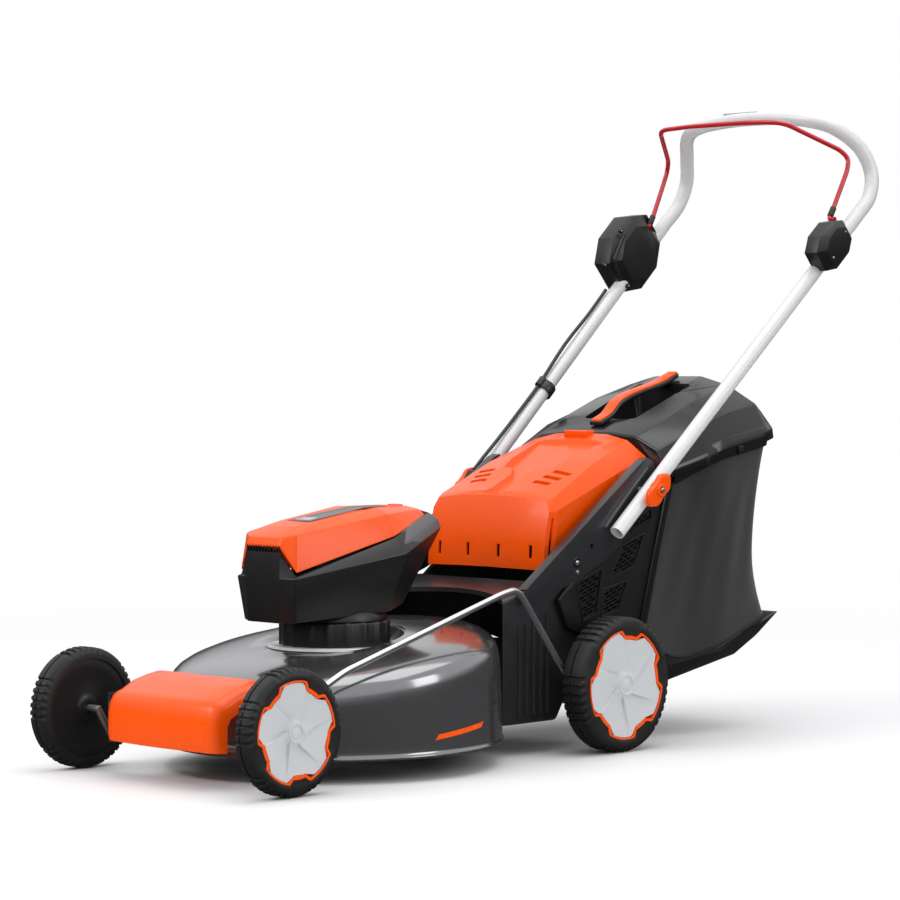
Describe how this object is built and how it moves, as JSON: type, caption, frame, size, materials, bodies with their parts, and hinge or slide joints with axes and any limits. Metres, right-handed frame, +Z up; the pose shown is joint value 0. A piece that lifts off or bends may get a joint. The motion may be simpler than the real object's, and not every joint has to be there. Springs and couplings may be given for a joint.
{
  "type": "lawn mower",
  "caption": "Cordless rotary lawn mower on four wheels with a folding tube handle, a bail lever, a rear flap and a rear grass collector.",
  "frame": {"origin": "middle of the mower's footprint, on the ground", "axes": "+Z up, -Y towards the front of the mower, +Y towards the operator, X along the axles with the folded cable on the -X side"},
  "size_m": [0.514, 1.4755, 1.0395],
  "materials": {
    "deck_paint": "deep metallic charcoal gloss paint",
    "black_plastic": "black moulded plastic with a fine texture",
    "orange_plastic": "glossy orange moulded plastic",
    "grey_plastic": "light grey moulded plastic",
    "badge_grey": "mid grey plate",
    "white_tube": "pale grey powder coat",
    "red_wire": "glossy red coating",
    "zinc_steel": "bright zinc plating",
    "tyre_rubber": "black rubber-like tread",
    "mesh_fabric": "black woven mesh cloth",
    "board_green": "green circuit board",
    "copper_steel": "laminated steel with copper windings"
  },
  "bodies": {
    "deck": {"deck_shell": "deck_paint", "rear_chute": "deck_paint", "handle_bracket_left": "deck_paint", "handle_bracket_right": "deck_paint", "bracket_bolt_left": "zinc_steel", "bracket_bolt_right": "zinc_steel", "front_axle_bracket": "deck_paint", "rear_axle_bracket": "deck_paint", "front_cover": "orange_plastic", "motor_base": "black_plastic", "motor_stator": "copper_steel", "motor_housing": "black_plastic", "lid_hinge_pin": "zinc_steel", "battery_pack": "black_plastic", "control_board": "board_green", "flap_hinge_rod": "zinc_steel", "flap_spring": "zinc_steel", "cable_lead": "black_plastic"},
    "blade": {"blade": "zinc_steel", "rotor_shaft": "zinc_steel", "blade_hub": "black_plastic", "blade_washer": "zinc_steel"},
    "front_axle": {"front_axle": "zinc_steel"},
    "rear_axle": {"rear_axle": "zinc_steel", "height_lever": "zinc_steel", "height_lever_grip": "black_plastic"},
    "tie_rod": {"tie_rod": "zinc_steel"},
    "handle": {"handle_tube": "white_tube", "switch_box": "black_plastic", "pivot_box": "black_plastic", "cable": "black_plastic", "cable_boot": "black_plastic", "cable_clip": "black_plastic", "run_switch": "black_plastic"},
    "bail": {"bail_lever": "red_wire"},
    "start_button": {"start_button": "orange_plastic"},
    "battery_lid": {"battery_lid": "orange_plastic", "lid_badge": "badge_grey"},
    "rear_flap": {"rear_flap": "orange_plastic"},
    "collector": {"collector_bag": "mesh_fabric", "collector_tray": "black_plastic", "collector_grille_left": "black_plastic", "collector_grille_right": "black_plastic", "collector_lid": "black_plastic", "collector_handle": "orange_plastic"},
    "knob_left": {"wing_knob_left": "orange_plastic"},
    "knob_right": {"wing_knob_right": "orange_plastic"},
    "front_wheel_left": {"front_left_tyre": "tyre_rubber", "front_left_rim": "orange_plastic", "front_left_hub_cap": "grey_plastic"},
    "front_wheel_right": {"front_right_tyre": "tyre_rubber", "front_right_rim": "orange_plastic", "front_right_hub_cap": "grey_plastic"},
    "rear_wheel_left": {"rear_left_tyre": "tyre_rubber", "rear_left_rim": "orange_plastic", "rear_left_hub_cap": "grey_plastic"},
    "rear_wheel_right": {"rear_right_tyre": "tyre_rubber", "rear_right_rim": "orange_plastic", "rear_right_hub_cap": "grey_plastic"}
  },
  "joints": [
    {"name": "blade_spin", "type": "hinge", "parent": "deck", "child": "blade", "pos_m": [0, -0.3455, 0.05], "axis": [0, 0, 1], "continuous": true},
    {"name": "height_adjust", "type": "hinge", "parent": "deck", "child": "front_axle", "pos_m": [0, -0.6255, 0.052], "axis": [1, 0, 0], "range_deg": [0, 60]},
    {"name": "rear_axle_turn", "type": "hinge", "parent": "deck", "child": "rear_axle", "pos_m": [0, 0.0695, 0.067], "axis": [1, 0, 0], "range_deg": [0, 60]},
    {"name": "tie_rod_swing", "type": "hinge", "parent": "front_axle", "child": "tie_rod", "pos_m": [0.19, -0.6035, 0.122], "axis": [1, 0, 0], "range_deg": [-60, 0]},
    {"name": "handle_fold", "type": "hinge", "parent": "deck", "child": "handle", "pos_m": [0, 0.1585, 0.402], "axis": [1, 0, 0], "range_deg": [0, 120]},
    {"name": "bail_pull", "type": "hinge", "parent": "handle", "child": "bail", "pos_m": [0, 0.6145, 0.845], "axis": [1, 0, 0], "range_deg": [-17, 0], "stiffness_Nm_per_rad": 1.5, "springref_deg": 17.19},
    {"name": "start_press", "type": "slide", "parent": "handle", "child": "start_button", "axis": [1, 0, 0], "range_m": [0, 0.0035], "stiffness_N_per_m": 500, "springref_m": -0.002},
    {"name": "battery_lid_open", "type": "hinge", "parent": "deck", "child": "battery_lid", "pos_m": [0, -0.4815, 0.3], "axis": [1, 0, 0], "range_deg": [0, 70]},
    {"name": "flap_lift", "type": "hinge", "parent": "deck", "child": "rear_flap", "pos_m": [0, -0.0005, 0.288], "axis": [1, 0, 0], "range_deg": [0, 60], "stiffness_Nm_per_rad": 1, "springref_deg": -22.92},
    {"name": "collector_pull", "type": "slide", "parent": "deck", "child": "collector", "axis": [0, 1, 0], "range_m": [0, 0.45]},
    {"name": "knob_left_turn", "type": "hinge", "parent": "handle", "child": "knob_left", "pos_m": [0.2022, 0.1585, 0.402], "axis": [1, 0, 0], "continuous": true},
    {"name": "knob_right_turn", "type": "hinge", "parent": "handle", "child": "knob_right", "pos_m": [-0.2022, 0.1585, 0.402], "axis": [1, 0, 0], "continuous": true},
    {"name": "front_wheel_left_spin", "type": "hinge", "parent": "front_axle", "child": "front_wheel_left", "pos_m": [0.22, -0.648, 0.09], "axis": [1, 0, 0], "continuous": true},
    {"name": "front_wheel_right_spin", "type": "hinge", "parent": "front_axle", "child": "front_wheel_right", "pos_m": [-0.22, -0.648, 0.09], "axis": [1, 0, 0], "continuous": true},
    {"name": "rear_wheel_left_spin", "type": "hinge", "parent": "rear_axle", "child": "rear_wheel_left", "pos_m": [0.22, 0.047, 0.105], "axis": [1, 0, 0], "continuous": true},
    {"name": "rear_wheel_right_spin", "type": "hinge", "parent": "rear_axle", "child": "rear_wheel_right", "pos_m": [-0.22, 0.047, 0.105], "axis": [1, 0, 0], "continuous": true}
  ],
  "couplings": [
    {"joint": "rear_axle_turn", "follows": "height_adjust", "ratio": 1},
    {"joint": "tie_rod_swing", "follows": "height_adjust", "ratio": -1}
  ]
}
